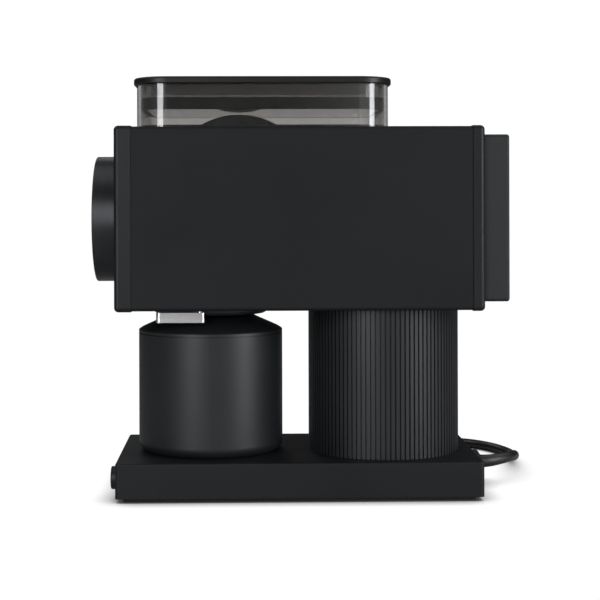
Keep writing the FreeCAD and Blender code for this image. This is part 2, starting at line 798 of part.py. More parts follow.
def make_rear_bezel():
    """A plate that closes the shell's rear end, with a round opening for the cooling air."""
    half = dim("body_width") / 2
    low, high = dim("body_bottom"), dim("body_bottom") + dim("body_width")
    middle = dim("body_bottom") + half
    rear = dim("body_rear")
    seam = rear - dim("rear_bezel_depth")
    outer, inner = dim("spigot_outside") / 2, dim("spigot_inside") / 2
    body = new_body("rear_bezel")
    outline = new_sketch(body, "outline", "XZ_Plane", -rear)
    draw_rectangle(outline, (-half, half), (low, high))
    pad(body, outline, dim("rear_bezel_depth"))
    fillet(body, 2.6, lambda edge: runs_along(edge, "Y"))
    fillet(body, dim("bezel_edge"), lambda edge: lies_at(edge, "Y", rear))
    spigot = new_sketch(body, "spigot", "XZ_Plane", -seam)
    draw_rectangle(spigot, (-outer, outer), (middle - outer, middle + outer))
    draw_rectangle(spigot, (-inner, inner), (middle - inner, middle + inner))
    pad(body, spigot, dim("rear_spigot_depth"))
    opening = new_sketch(body, "air_opening", "XZ_Plane", -rear)
    draw_circle(opening, 36.0, 0, middle)
    for x, z in rear_screw_places():
        draw_circle(opening, 1.5 + CLEARANCE, x, z)
    pocket(body, opening, dim("rear_bezel_depth"), towards_normal=True)
    return body


def rear_screw_places():
    return corners(41.0, 41.0, 0, dim("body_bottom") + dim("body_width") / 2)


def make_rear_cover():
    """A shallow box over the rear opening, with air slots and a boss at each corner for its screws."""
    half, wall = dim("cover_width") / 2, dim("cover_wall")
    middle = dim("body_bottom") + dim("body_width") / 2
    rear = dim("overall_length") / 2
    front = dim("body_rear")
    body = new_body("rear_cover")
    outline = new_sketch(body, "outline", "XZ_Plane", -rear)
    draw_rectangle(outline, (-half, half), (middle - half, middle + half))
    pad(body, outline, rear - front)
    fillet(body, 2.2, lambda edge: runs_along(edge, "Y"))
    fillet(body, 1.4, lambda edge: lies_at(edge, "Y", rear))
    hollow = new_sketch(body, "hollow", "XZ_Plane", -front)
    inner = half - wall
    draw_rectangle(hollow, (-inner, inner), (middle - inner, middle + inner))
    pocket(body, hollow, rear - front - wall, towards_normal=False)
    bosses = new_sketch(body, "bosses", "XZ_Plane", -front)
    for x, z in rear_screw_places():
        draw_circle(bosses, 4.6, x, z)
    pad(body, bosses, rear - front - wall, towards_normal=False)
    holes = new_sketch(body, "screw_holes", "XZ_Plane", -rear)
    for x, z in rear_screw_places():
        draw_circle(holes, 1.7, x, z)
    pocket(body, holes, rear - front, towards_normal=True)
    seats = new_sketch(body, "screw_seats", "XZ_Plane", -rear)
    for x, z in rear_screw_places():
        draw_circle(seats, 3.2, x, z)
    pocket(body, seats, 3.0, towards_normal=True)
    slots = new_sketch(body, "air_slots", "XZ_Plane", -rear)
    for row in range(-5, 6):
        height = middle + row * 6.0
        draw_rectangle(slots, (-30.0, 30.0), (height - 1.3, height + 1.3))
    pocket(body, slots, wall, towards_normal=True)
    return body


def make_body():
    low = dim("body_bottom") + dim("shell_inset") + dim("shell_wall")
    face = -dim("overall_length") / 2 + dim("dial_depth") + 0.6
    chassis = new_body("chassis_plate")
    outline = new_sketch(chassis, "outline", "XY_Plane", low)
    draw_rectangle(outline, (-48.0, 48.0), (-88.0, 90.0))
    pad(chassis, outline, 3.0)
    holes = new_sketch(chassis, "holes", "XY_Plane", low)
    draw_circle(holes, 24.0, 0, dim("cup_y"))
    draw_circle(holes, 3.0, 34.0, dim("column_y") - 11.5)
    for x, y in column_rods():
        draw_circle(holes, 2.0 + CLEARANCE, x, y)
    pocket(chassis, holes, 3.0)
    front_points = corners(26.5, 26.5, 0, dim("axis_height"))
    front = screws("front_screws", front_points, "Y", face + 2.2, face + 12.0, 2.9, 1.5, 2.0)
    rear_seat = dim("overall_length") / 2 - 3.0
    rear = screws("rear_screws", rear_screw_places(), "Y", rear_seat, dim("body_rear") - 6.0, 2.9, 1.5, 2.4)
    return [make_body_shell(), make_front_bezel(), make_rear_bezel(), make_rear_cover(), chassis, front, rear]


# --- the grinding chamber and what falls through it ------------------------------------------

def make_grind_chamber():
    """A cast drum round the burrs, with a tunnel behind for the auger, a throat above and a port below."""
    face = -dim("overall_length") / 2 + dim("dial_depth") + 0.6 + dim("bezel_plate")
    cavity, tunnel, seat = dim("cavity_radius"), dim("tunnel_radius"), dim("bearing_radius")
    axis_height, rear = dim("axis_height"), dim("motor_front")
    outside = cavity + 4.5
    drum = turned_on_drive_axis(
        "chamber_drum",
        [
            (face, cavity),
            (face, outside),
            (-37.5, outside),
            (-37.5, tunnel + 8),
            (rear - 5, tunnel + 8),
            (rear - 5, outside),
            (rear, outside),
            (rear, seat + CLEARANCE),
            (rear - dim("bearing_width"), seat + CLEARANCE),
            (rear - dim("bearing_width"), tunnel),
            (-40.0, tunnel),
            (-40.0, cavity),
        ],
    )
    plate_top = dim("body_bottom") + dim("shell_inset") + dim("shell_wall") + 3.0
    throat = block("throat_wall", (-13.5, 13.5), (-39.5, -19.5), (axis_height, dim("hopper_bottom")))
    port = block("port_wall", (-16, 16), (-62, -43), (plate_top + 0.7, axis_height - cavity + 2))
    front_feet = [
        block(f"front_foot_{side}", (side * 26 - 5, side * 26 + 5), (-90, -72), (plate_top, axis_height - 30))
        for side in (-1, 1)
    ]
    rear_foot = block("rear_foot", (-30, 30), (rear - 5, rear), (plate_top, axis_height - 27))
    solid = fused("chamber_blank", drum, throat, port, *front_feet, rear_foot)
    tools = [
        rod("chamber_cavity", cavity, face, -40.0, z=axis_height, axis="Y"),
        rod("chamber_tunnel", tunnel, -41.0, rear - dim("bearing_width"), z=axis_height, axis="Y"),
        rod("bearing_seat", seat + CLEARANCE, rear - dim("bearing_width"), rear, z=axis_height, axis="Y"),
        block("throat_hole", (-11, 11), (-37.5, -22), (axis_height, dim("hopper_bottom"))),
        block("port_hole", (-12, 12), (-59, -46), (plate_top, axis_height - cavity + 4)),
    ]
    for number, (x, z) in enumerate(corners(26.5, 26.5, 0, axis_height), start=1):
        tools.append(rod(f"front_screw_hole_{number}", 1.5 + CLEARANCE, face, face + 9.0, x=x, z=z, axis="Y"))
    for number, (x, z) in enumerate(corners(21.5, 21.5, 0, axis_height), start=1):
        tools.append(rod(f"motor_screw_hole_{number}", 1.7, rear - 5, rear, x=x, z=z, axis="Y"))
    return cut("grind_chamber", solid, *tools)


def make_chute():
    """The spout under the chamber and the ring below the body that it ends in."""
    low = dim("body_bottom") + dim("shell_inset")
    flange = low + dim("shell_wall") + 1.2
    chute = turned_upright(
        "chute",
        [
            (12.5, dim("ring_bottom") + 0.5),
            (15.0, dim("ring_bottom") + 0.5),
            (15.0, flange),
            (22.0, flange),
            (22.0, flange + 2.5),
            (12.5, flange + 2.5),
        ],
        0,
        dim("cup_y"),
    )
    chute_ring = turned_upright(
        "chute_ring",
        [
            (16.0, dim("ring_bottom")),
            (dim("ring_radius"), dim("ring_bottom")),
            (dim("ring_radius"), low),
            (26.5, low),
            (26.5, low + 2.0),
            (16.0, low + 2.0),
        ],
        0,
        dim("cup_y"),
    )
    low_edge = dim("ring_bottom")
    fillet(chute_ring, 2.8, lambda edge: lies_at(edge, "Z", low_edge) and edge.BoundBox.XLength > 60)
    return [chute, chute_ring]


def make_knocker():
    """A sprung sheet metal tab below the body: pulled out and let go, it taps the ring under the chute."""
    x_out, x_in = 39.7, 35.3
    y_front, y_rear = -82.5, -54.3
    low, high = 100.7, 106.4
    metal = dim("knocker_metal")
    pin_x, pin_y = dim("knocker_pin_x"), dim("knocker_pin_y")
    lever = new_body("knocker_tab")
    outline = new_sketch(lever, "outline", "XY_Plane", low)
    draw_rectangle(outline, (x_in, x_out), (y_front, y_rear))
    pad(lever, outline, high - low)
    fillet(lever, 2.1, lambda edge: runs_along(edge, "Z"))
    hollow = new_sketch(lever, "hollow", "XY_Plane", low)
    draw_rectangle(hollow, (x_in + metal, x_out - metal), (y_front + metal, y_rear - metal))
    pocket(lever, hollow, high - low)
    gap = new_sketch(lever, "open_back", "XY_Plane", low)
    draw_rectangle(gap, (x_in - 1, x_in + metal + 0.1), (y_front + 3.6, y_rear - 6.4))
    pocket(lever, gap, high - low)
    eye = rod("knocker_eye", 2.4, low + 1.0, high, x=pin_x, y=pin_y)
    bore = rod("knocker_bore", 1.5 + RUNNING, low, high, x=pin_x, y=pin_y)
    whole = cut("knocker_lever", fused("knocker_blank", lever, eye), bore)
    inside = dim("body_bottom") + dim("shell_inset") + dim("shell_wall")
    pin = rod("knocker_pin", 1.5, low + 0.6, inside, x=pin_x, y=pin_y)
    spring = helix_body("knocker_spring", 0.45, 2.3, 0.6, 1.4, pin_x, pin_y, high + 0.1)
    return [whole, pin, spring]


# --- the motor -------------------------------------------------------------------------------

def make_motor():
    axis_height, radius = dim("axis_height"), dim("motor_radius")
    front, rear, width = dim("motor_front"), dim("motor_rear"), dim("bearing_width")
    shaft, seat = dim("shaft_radius"), dim("bearing_radius")
    can = turned_on_drive_axis(
        "motor_can_blank",
        [
            (front, 6.5),
            (front, radius),
            (rear, radius),
            (rear, radius - 2),
            (front + 3, radius - 2),
            (front + 3, 6.5),
        ],
    )
    holes = [
        rod(f"can_screw_hole_{number}", 1.5 + CLEARANCE, front, front + 3, x=x, z=z, axis="Y")
        for number, (x, z) in enumerate(corners(21.5, 21.5, 0, axis_height), start=1)
    ]
    motor_can = cut("motor_can", can, *holes)
    bell = turned_on_drive_axis(
        "motor_end_bell",
        [
            (rear, seat + CLEARANCE),
            (rear, radius),
            (rear + 3, radius),
            (rear + 3, seat + 4),
            (rear + width, seat + 4),
            (rear + width, seat + CLEARANCE),
        ],
    )
    air = new_sketch(bell, "air_hole", "XZ_Plane", -rear)
    draw_circle(air, 4.5, 25.0, 0)
    one = pocket(bell, air, 3.0, towards_normal=False)
    polar(bell, one, air, "N_Axis", as_size(8))
    core_front, core_rear = 4.0, 54.0
    where = {"z": axis_height, "axis": "Y"}
    stator = ring("stator_core", radius - 2 - CLEARANCE, 24.0, core_front, core_rear, **where)
    windings = []
    for number, y in enumerate((core_front - 4, core_rear + 4), start=1):
        bundle = doc.addObject("Part::Torus", f"winding_{number}")
        bundle.Radius1 = 29.5
        bundle.Radius2 = 4.0
        windings.append(place(bundle, 0, y, axis_height, "Y"))
    rotor = ring("rotor_core", 23.4, 5.0 + CLEARANCE, core_front, core_rear, **where)
    drive = turned_on_drive_axis(
        "drive_shaft",
        [
            (-54.0, 0),
            (-54.0, shaft),
            (front + 1, shaft),
            (front + 1, 5.0),
            (rear - 1, 5.0),
            (rear - 1, shaft),
            (93.5, shaft),
            (93.5, 0),
        ],
    )
    bearings = [
        ring("front_bearing", seat, shaft + CLEARANCE, front - width, front, **where),
        ring("rear_bearing", seat, shaft + CLEARANCE, rear, rear + width, **where),
    ]
    fan = turned_on_drive_axis(
        "cooling_fan",
        [(83.0, shaft + CLEARANCE), (83.0, 9.0), (93.0, 9.0), (93.0, shaft + CLEARANCE)],
    )
    blade = new_sketch(fan, "blade", "XZ_Plane", -83.0)
    draw_polygon(blade, [(7.0, -0.8), (33.0, -5.0), (33.0, -3.4), (7.0, 0.8)])
    one = pad(fan, blade, 10.0, towards_normal=False)
    polar(fan, one, blade, "N_Axis", as_size(9))
    points = corners(21.5, 21.5, 0, axis_height)
    fixings = screws("motor_screws", points, "Y", front - 5, front + 3, 2.8, 1.5, 2.4)
    return [
        motor_can,
        bell,
        stator,
        group("stator_windings", windings),
        rotor,
        drive,
        group("shaft_bearings", bearings),
        fan,
        fixings,
    ]


# --- the burrs, the auger and the dial that sets the gap -------------------------------------

def make_burr(label, seat, face, inside):
    """A flat burr: a ring whose cutting face slopes in towards its hole and is cut by slanted grooves."""
    outside = dim("burr_radius")
    slope = (as_size(seat) - face) * 0.45
    burr = turned_on_drive_axis(
        label,
        [(seat, inside), (seat, outside), (face, outside), (face, outside - 7), (slope + face, inside)],
    )
    inwards = as_size(seat).value > as_size(face).value
    groove = new_sketch(burr, "groove", "XZ_Plane", -as_size(face))
    draw_polygon(groove, [(12.0, 3.0), (12.0, 5.2), (33.0, 9.6), (33.0, 8.4)])
    one = pocket(burr, groove, 1.4, towards_normal=not inwards)
    polar(burr, one, groove, "N_Axis", as_size(18))
    bores = new_sketch(burr, "screw_holes", "XZ_Plane", -as_size(seat))
    draw_circle(bores, 1.6, 0, 25.0)
    hole = pocket(burr, bores, dim("burr_thickness"), towards_normal=inwards)
    polar(burr, hole, bores, "N_Axis", as_size(3))
    return burr


def burr_screw_places():
    """Three places 120 degrees apart, 25 mm from the drive axis."""
    radius = 25.0
    return [
        (radius * math.sin(math.radians(angle)), dim("axis_height") + radius * math.cos(math.radians(angle)))
        for angle in (0, 120, 240)
    ]


def make_burrs():
    gap, middle, thickness = dim("burr_gap"), dim("gap_y"), dim("burr_thickness")
    axis_height = dim("axis_height")
    fixed_face, turning_face = middle - gap / 2, middle + gap / 2
    fixed_seat, turning_seat = fixed_face - thickness, turning_face + thickness
    fixed = make_burr("fixed_burr", fixed_seat, fixed_face, 13.0)
    turning = make_burr("rotating_burr", turning_seat, turning_face, 16.0)

    carrier = turned_on_drive_axis(
        "carrier_blank",
        [
            (-90.0, 9.3),
            (-90.0, 35.0),
            (fixed_seat, 35.0),
            (fixed_seat, 0),
            (-66.0, 0),
            (-66.0, 9.3),
        ],
    )
    key_holes = [
        rod(f"key_hole_{side}", 2.1, -90.0, -70.0, x=side * 28.0, z=axis_height, axis="Y")
        for side in (-1, 1)
    ]
    screw_holes = [
        rod(f"carrier_hole_{number}", 1.5 + CLEARANCE, fixed_seat - 8, fixed_seat, x=x, z=z, axis="Y")
        for number, (x, z) in enumerate(burr_screw_places(), start=1)
    ]
    fixed_carrier = cut("fixed_burr_carrier", carrier, *key_holes, *screw_holes)
    face = -dim("overall_length") / 2 + dim("dial_depth") + 0.6 + dim("bezel_plate")
    keys = [
        rod(f"key_pin_{side}", 2.0, face, -76.0, x=side * 28.0, z=axis_height, axis="Y")
        for side in (-1, 1)
    ]

    spider = turned_on_drive_axis(
        "burr_spider",
        [
            (turning_seat, dim("shaft_radius") + CLEARANCE),
            (turning_seat, 33.0),
            (turning_seat + 4.2, 33.0),
            (turning_seat + 4.2, dim("shaft_radius") + CLEARANCE),
        ],
    )
    window = new_sketch(spider, "bean_window", "XZ_Plane", -turning_seat)
    draw_circle(window, 4.2, 0, -11.5)
    one = pocket(spider, window, 4.2, towards_normal=False)
    polar(spider, one, window, "N_Axis", as_size(3))
    tapped = new_sketch(spider, "screw_holes", "XZ_Plane", -turning_seat)
    draw_circle(tapped, 1.5 + CLEARANCE, 0, 25.0)
    hole = pocket(spider, tapped, 4.2, towards_normal=False)
    polar(spider, hole, tapped, "N_Axis", as_size(3))
    fixed_screws = screws(
        "fixed_burr_screws", burr_screw_places(), "Y", fixed_face - 3.4, fixed_seat - 7, 1.55, 1.5, 1.6
    )
    turning_screws = screws(
        "rotating_burr_screws", burr_screw_places(), "Y", turning_face + 3.4, turning_seat + 4, 1.55, 1.5, 1.6
    )
    nut_blank = hexagon("shaft_nut_blank", 7.0, turning_seat - 5, turning_seat, z=axis_height, axis="Y")
    nut_bore = rod("shaft_nut_bore", 4.0 + CLEARANCE, turning_seat - 5, turning_seat, z=axis_height, axis="Y")
    nut = cut("shaft_nut", nut_blank, nut_bore)
    return [
        fixed,
        fixed_carrier,
        fixed_screws,
        group("key_pins", keys),
        turning,
        spider,
        turning_screws,
        nut,
        make_auger(),
    ]


def make_auger():
    """A screw conveyor on the shaft, below the throat, that carries the beans forward to the burrs."""
    start, end = -39.6, -20.6
    body = new_body("auger")
    place(body, 0, start, dim("axis_height"), "Y")
    core = new_sketch(body, "core", "XY_Plane")
    draw_circle(core, 7.0)
    draw_circle(core, dim("shaft_radius") + CLEARANCE)
    pad(body, core, end - start)
    flight = new_sketch(body, "flight", "XZ_Plane")
    draw_rectangle(flight, (6.5, 14.4), (0.2, 2.4))
    feature = body.newObject("PartDesign::AdditiveHelix", "auger_flight")
    feature.Profile = flight
    feature.ReferenceAxis = (flight, ["V_Axis"])
    feature.Mode = "pitch-height-angle"
    feature.Pitch = 9.0
    feature.Height = end - start - 2.8
    body.Tip = feature
    doc.recompute()
    return body


def make_dial():
    """The grind dial and its hub, whose threaded stem moves the fixed burr's carrier along the axis."""
    front = -dim("overall_length") / 2
    back = front + dim("dial_depth")
    radius, wall = dim("dial_diameter") / 2, dim("dial_wall")
    knob = turned_on_drive_axis(
        "dial_knob",
        [
            (front, 0),
            (front, radius),
            (back, radius),
            (back, radius - wall),
            (front + wall, radius - wall),
            (front + wall, 0),
        ],
    )
    fillet(knob, 0.9, lambda edge: lies_at(edge, "Y", front))
    fillet(knob, 0.4, lambda edge: lies_at(edge, "Y", back) and edge.BoundBox.XLength > 2 * radius.value - 1)
    bezel_back = back + 0.6 + dim("bezel_plate")
    hub = turned_on_drive_axis(
        "dial_hub",
        [
            (front + wall, 0),
            (front + wall, 18.0),
            (front + wall + 3, 18.0),
            (front + wall + 3, 12.0),
            (bezel_back + 0.3, 12.0),
            (bezel_back + 0.3, 15.0),
            (bezel_back + 2.8, 15.0),
            (bezel_back + 2.8, 9.0),
            (-68.0, 9.0),
            (-68.0, 0),
        ],
    )
    return [knob, hub]


# --- the hopper ------------------------------------------------------------------------------

def rounded_prism(label, shrink, low, high, y):
    """An upright prism with the hopper's plan, smaller by shrink all round."""
    shrink = as_size(shrink)
    body = new_body(label, 0, y, 0)
    outline = new_sketch(body, "outline", "XY_Plane", low)
    width, length = dim("hopper_width") - shrink * 2, dim("hopper_length") - shrink * 2
    draw_rounded_rectangle(outline, width, length, dim("hopper_corner") - shrink)
    pad(body, outline, as_size(high) - low)
    return body


def cut_rounded(body, name, shrink, low, high):
    """Cuts the hopper's plan, smaller by shrink all round, out of a body between two heights."""
    shrink = as_size(shrink)
    outline = new_sketch(body, name, "XY_Plane", low)
    width, length = dim("hopper_width") - shrink * 2, dim("hopper_length") - shrink * 2
    draw_rounded_rectangle(outline, width, length, dim("hopper_corner") - shrink)
    pocket(body, outline, as_size(high) - low)


def make_bean_guide():
    """A sloping floor that leads the beans to the throat, under a domed arch that guards it."""
    floor = dim("hopper_bottom") + dim("hopper_wall")
    y, wall, rise = dim("hopper_y"), dim("hopper_wall"), 7.0
    throat_y = -29.75
    guide = rounded_prism("guide_blank", wall + 0.1, floor, floor + rise, y)
    rim = new_sketch(guide, "rim", "XY_Plane", floor + rise)
    width, length = dim("hopper_width") - wall * 2 - 1.4, dim("hopper_length") - wall * 2 - 1.4
    draw_rounded_rectangle(rim, width, length, dim("hopper_corner") - wall - 0.7)
    mouth = new_sketch(guide, "mouth", "XY_Plane", floor)
    draw_rounded_rectangle(mouth, 20.0, 14.0, 2.0, as_size(throat_y) - y)
    slope = guide.newObject("PartDesign::SubtractiveLoft", "guide_slope")
    slope.Profile = rim
    slope.Sections = [mouth]
    slope.Ruled = True
    guide.Tip = slope
    doc.recompute()
    radius, thickness, centre_y, centre_z, doorway_top = 45.0, 2.2, -34.7, 176.6, 215.0
    span = (centre_y - 34, centre_y + 34)
    outer = rod("arch_outside", radius, -12, 12, y=centre_y, z=centre_z, axis="X")
    hollow = rod("arch_inside", radius - thickness, -10, 10, y=centre_y, z=centre_z, axis="X")
    shell = cut("arch_shell", outer, hollow)
    # below the doorway's top the arch is open at both sides, and beans roll in under its cheeks
    doorway = doc.addObject("Part::Common", "arch_doorway")
    doorway.Base = rod("doorway_round", radius - thickness, -12, 12, y=centre_y, z=centre_z, axis="X")
    doorway.Tool = block("doorway_space", (-12, 12), span, (centre_z, doorway_top))
    arch = doc.addObject("Part::Common", "arch")
    arch.Base = cut("arch_open", shell, doorway)
    arch.Tool = block("arch_space", (-12, 12), span, (floor + 0.6, floor + 20))
    return fused("bean_guide", guide, arch)


def make_hopper():
    low, high, y = dim("hopper_bottom"), dim("hopper_top"), dim("hopper_y")
    wall, overhang = dim("hopper_wall"), dim("lid_overhang")
    bin_body = rounded_prism("hopper_bin", 0, low, high, y)
    cut_rounded(bin_body, "inside", wall, low + wall, high)
    throat = new_sketch(bin_body, "throat", "XY_Plane", low)
    draw_rectangle(throat, (-11.0, 11.0), (as_size(-37.5) - y, as_size(-22.0) - y))
    pocket(bin_body, throat, wall)

    lid = rounded_prism("hopper_lid", -overhang, high, high + dim("lid_thickness"), y)
    top = high + dim("lid_thickness")
    fillet(lid, 1.3, lambda edge: lies_at(edge, "Z", top))
    fillet(lid, 0.6, lambda edge: lies_at(edge, "Z", high))

    skirt_inset, skirt_wall = wall + 3.4, 2.0
    skirt = rounded_prism("lid_skirt", skirt_inset, dim("seal_bottom"), high, y)
    cut_rounded(skirt, "inside", skirt_inset + skirt_wall, dim("seal_bottom") + skirt_wall, high)
    seal = rounded_prism("lid_seal", wall + 0.25, dim("seal_bottom"), dim("seal_top"), y)
    cut_rounded(seal, "inside", skirt_inset, dim("seal_bottom"), dim("seal_top"))
    return [bin_body, make_bean_guide(), lid, skirt, seal]


# --- the catch cup ---------------------------------------------------------------------------

def make_cup():
    radius, wall, low, high = dim("cup_radius"), dim("cup_wall"), dim("base_top"), dim("cup_top")
    floor = low + 2.5
    cup = turned_upright(
        "catch_cup",
        [
            (0, low),
            (radius, low),
            (radius, high - 0.5),
            (radius - 0.9, high - 0.5),
            (radius - 0.9, high),
            (radius - wall, high),
            (radius - wall, floor),
            (0, floor),
        ],
        0,
        dim("cup_y"),
    )
    fillet(cup, 6.0, lambda edge: lies_at(edge, "Z", low))
    fillet(cup, 4.5, lambda edge: lies_at(edge, "Z", floor))
    top = dim("cup_lid_top")
    lid = turned_upright(
        "cup_lid",
        [
            (radius, high),
            (radius, high + 1.5),
            (radius - 0.6, high + 2.1),
            (radius - 2.6, high + 3.3),
            (radius - 14.9, top - 0.9),
            (radius - 16.7, top),
            (radius - 18.3, top),
            (radius - 18.3, top - 1.7),
            (radius - 15.9, top - 2.3),
            (radius - 3.9, high + 1.9),
            (radius - 3.9, high - 4.6),
            (radius - 2.3, high - 4.6),
            (radius - 2.3, high),
        ],
        0,
        dim("cup_y"),
    )
    return [cup, lid]


def check_and_export(parts):
    """Stops if an object failed or a sub-part isn't a valid solid, then writes one STEP file a sub-part."""
    doc.recompute()
    for thing in doc.Objects:
        bad = {"Invalid", "Error"} & set(thing.State)
        if bad:
            raise RuntimeError(f"{thing.Label}: {sorted(bad)}")
    os.makedirs("parts", exist_ok=True)
    for part in parts:
        shape = part.Shape
        if shape.isNull() or not shape.isValid() or not shape.Solids or shape.Volume <= 0:
            raise RuntimeError(f"{part.Label} is not a valid solid")
        shape.exportStep(f"parts/{part.Label}.step")
    print(f"{len(parts)} sub-parts written")


def main():
    fill_sheet()
    parts = []
    parts += make_base()
    parts += make_start_button()
    parts += make_cord()
    parts += make_column()
    parts += make_body()
    parts.append(make_grind_chamber())
    parts += make_chute()
    parts += make_knocker()
    parts += make_motor()
    parts += make_burrs()
    parts += make_dial()
    parts += make_hopper()
    parts += make_cup()
    check_and_export(parts)


main()
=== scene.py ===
import json
import math

import bmesh
import bpy
from mathutils import Matrix, Vector


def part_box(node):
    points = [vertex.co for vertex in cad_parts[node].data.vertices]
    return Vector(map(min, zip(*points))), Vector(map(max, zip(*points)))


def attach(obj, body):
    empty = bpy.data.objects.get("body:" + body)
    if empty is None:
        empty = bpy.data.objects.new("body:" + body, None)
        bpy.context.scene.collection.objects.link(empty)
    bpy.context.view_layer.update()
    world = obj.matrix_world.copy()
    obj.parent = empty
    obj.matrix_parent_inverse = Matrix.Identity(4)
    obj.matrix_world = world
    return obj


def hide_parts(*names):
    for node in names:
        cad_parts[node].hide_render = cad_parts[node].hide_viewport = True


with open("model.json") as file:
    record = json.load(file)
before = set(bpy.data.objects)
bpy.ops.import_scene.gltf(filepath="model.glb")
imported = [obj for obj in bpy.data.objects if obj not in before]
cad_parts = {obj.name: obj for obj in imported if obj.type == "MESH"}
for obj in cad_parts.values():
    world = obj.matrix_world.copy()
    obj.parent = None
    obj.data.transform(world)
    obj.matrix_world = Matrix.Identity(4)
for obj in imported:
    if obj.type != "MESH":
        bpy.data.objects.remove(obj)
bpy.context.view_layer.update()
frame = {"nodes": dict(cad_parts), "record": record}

MM = 0.001


# --- the camera, at the photograph's place and angle -----------------------------------------

def make_camera():
    yaw, roll = math.radians(1.17), math.radians(0.157)
    forward = Vector((-math.cos(yaw), math.sin(yaw), 0))
    right = Vector((math.sin(yaw), math.cos(yaw), 0))
    up = Vector((0, 0, 1))
    side = right * math.cos(roll) - up * math.sin(roll)
    top = right * math.sin(roll) + up * math.cos(roll)
    data = bpy.data.cameras.new("camera")
    data.sensor_width = 36
    data.lens = 84.66
    data.shift_x = 0.0464
    data.shift_y = -0.155
    data.dof.use_dof = False
    camera = bpy.data.objects.new("camera", data)
    turn = Matrix((side, top, -forward)).transposed()
    camera.matrix_world = Matrix.Translation((0.8482, -0.03224, 0.1669)) @ turn.to_4x4()
    bpy.context.scene.collection.objects.link(camera)
    bpy.context.scene.camera = camera


# --- materials -------------------------------------------------------------------------------

# size of the patches where a finish is a little rougher or smoother, and by how much
PATCH_SCALE = 14.0
ROUGH_SPREAD = 0.08


def nodes_of(material):
    tree = material.node_tree
    return tree.nodes, tree.links


def new_material(name):
    material = bpy.data.materials.new(name)
    material.use_nodes = True
    nodes, links = nodes_of(material)
    nodes.clear()
    output = nodes.new("ShaderNodeOutputMaterial")
    shader = nodes.new("ShaderNodeBsdfPrincipled")
    links.new(shader.outputs["BSDF"], output.inputs["Surface"])
    return material, shader


def mapped(material, scale):
    """Object coordinates, in metres, stretched along each axis."""
    nodes, links = nodes_of(material)
    place = nodes.new("ShaderNodeTexCoord")
    mapping = nodes.new("ShaderNodeMapping")
    mapping.inputs["Scale"].default_value = scale
    links.new(place.outputs["Object"], mapping.inputs["Vector"])
    return mapping.outputs["Vector"]


def noise(material, scale, detail=3.0, stretch=(1, 1, 1)):
    nodes, links = nodes_of(material)
    texture = nodes.new("ShaderNodeTexNoise")
    texture.inputs["Scale"].default_value = scale
    texture.inputs["Detail"].default_value = detail
    links.new(mapped(material, stretch), texture.inputs["Vector"])
    return texture.outputs["Fac"]


def spread(material, value, low, high):
    """The middle of a texture's values spread between two numbers."""
    nodes, links = nodes_of(material)
    ramp = nodes.new("ShaderNodeMapRange")
    ramp.inputs["From Min"].default_value = 0.3
    ramp.inputs["From Max"].default_value = 0.7
    ramp.inputs["To Min"].default_value = low
    ramp.inputs["To Max"].default_value = high
    links.new(value, ramp.inputs["Value"])
    return ramp.outputs["Result"]


def tint(material, value, low, high):
    """A colour that a texture value shifts between two near shades."""
    nodes, links = nodes_of(material)
    ramp = nodes.new("ShaderNodeValToRGB")
    ramp.color_ramp.elements[0].position = 0.3
    ramp.color_ramp.elements[0].color = (*low, 1)
    ramp.color_ramp.elements[1].position = 0.7
    ramp.color_ramp.elements[1].color = (*high, 1)
    links.new(value, ramp.inputs["Fac"])
    return ramp.outputs["Color"]


def add_bump(material, shader, height, depth, strength=1.0):
    nodes, links = nodes_of(material)
    bump = nodes.new("ShaderNodeBump")
    bump.inputs["Distance"].default_value = depth
    bump.inputs["Strength"].default_value = strength
    links.new(height, bump.inputs["Height"])
    links.new(bump.outputs["Normal"], shader.inputs["Normal"])


def make_finish(name, colour, rough, grain=900.0, depth=0.00002, specular=0.5, metallic=0.0,
                stretch=(1, 1, 1), shade=0.12):
    """An opaque finish: two near shades, a grain that stands up a little, and roughness in patches."""
    material, shader = new_material(name)
    links = material.node_tree.links
    low = tuple(c * (1 - shade) for c in colour)
    high = tuple(c * (1 + shade) for c in colour)
    fine = noise(material, grain, 3.0, stretch)
    broad = noise(material, PATCH_SCALE, 4.0, stretch)
    links.new(tint(material, fine, low, high), shader.inputs["Base Color"])
    links.new(spread(material, broad, rough - ROUGH_SPREAD, rough + ROUGH_SPREAD), shader.inputs["Roughness"])
    add_bump(material, shader, fine, depth)
    shader.inputs["Metallic"].default_value = metallic
    shader.inputs["Specular IOR Level"].default_value = specular
    return material


def turned(material):
    """Fine rings round the Y axis, as from a lathe, which spread a highlight along that axis."""
    nodes, links = nodes_of(material)
    shader = next(n for n in nodes if n.type == "BSDF_PRINCIPLED")
    tangent = nodes.new("ShaderNodeTangent")
    tangent.direction_type = "RADIAL"
    tangent.axis = "Y"
    links.new(tangent.outputs["Tangent"], shader.inputs["Tangent"])
    shader.inputs["Anisotropic"].default_value = 0.85
    shader.inputs["Anisotropic Rotation"].default_value = 0.25
    return material


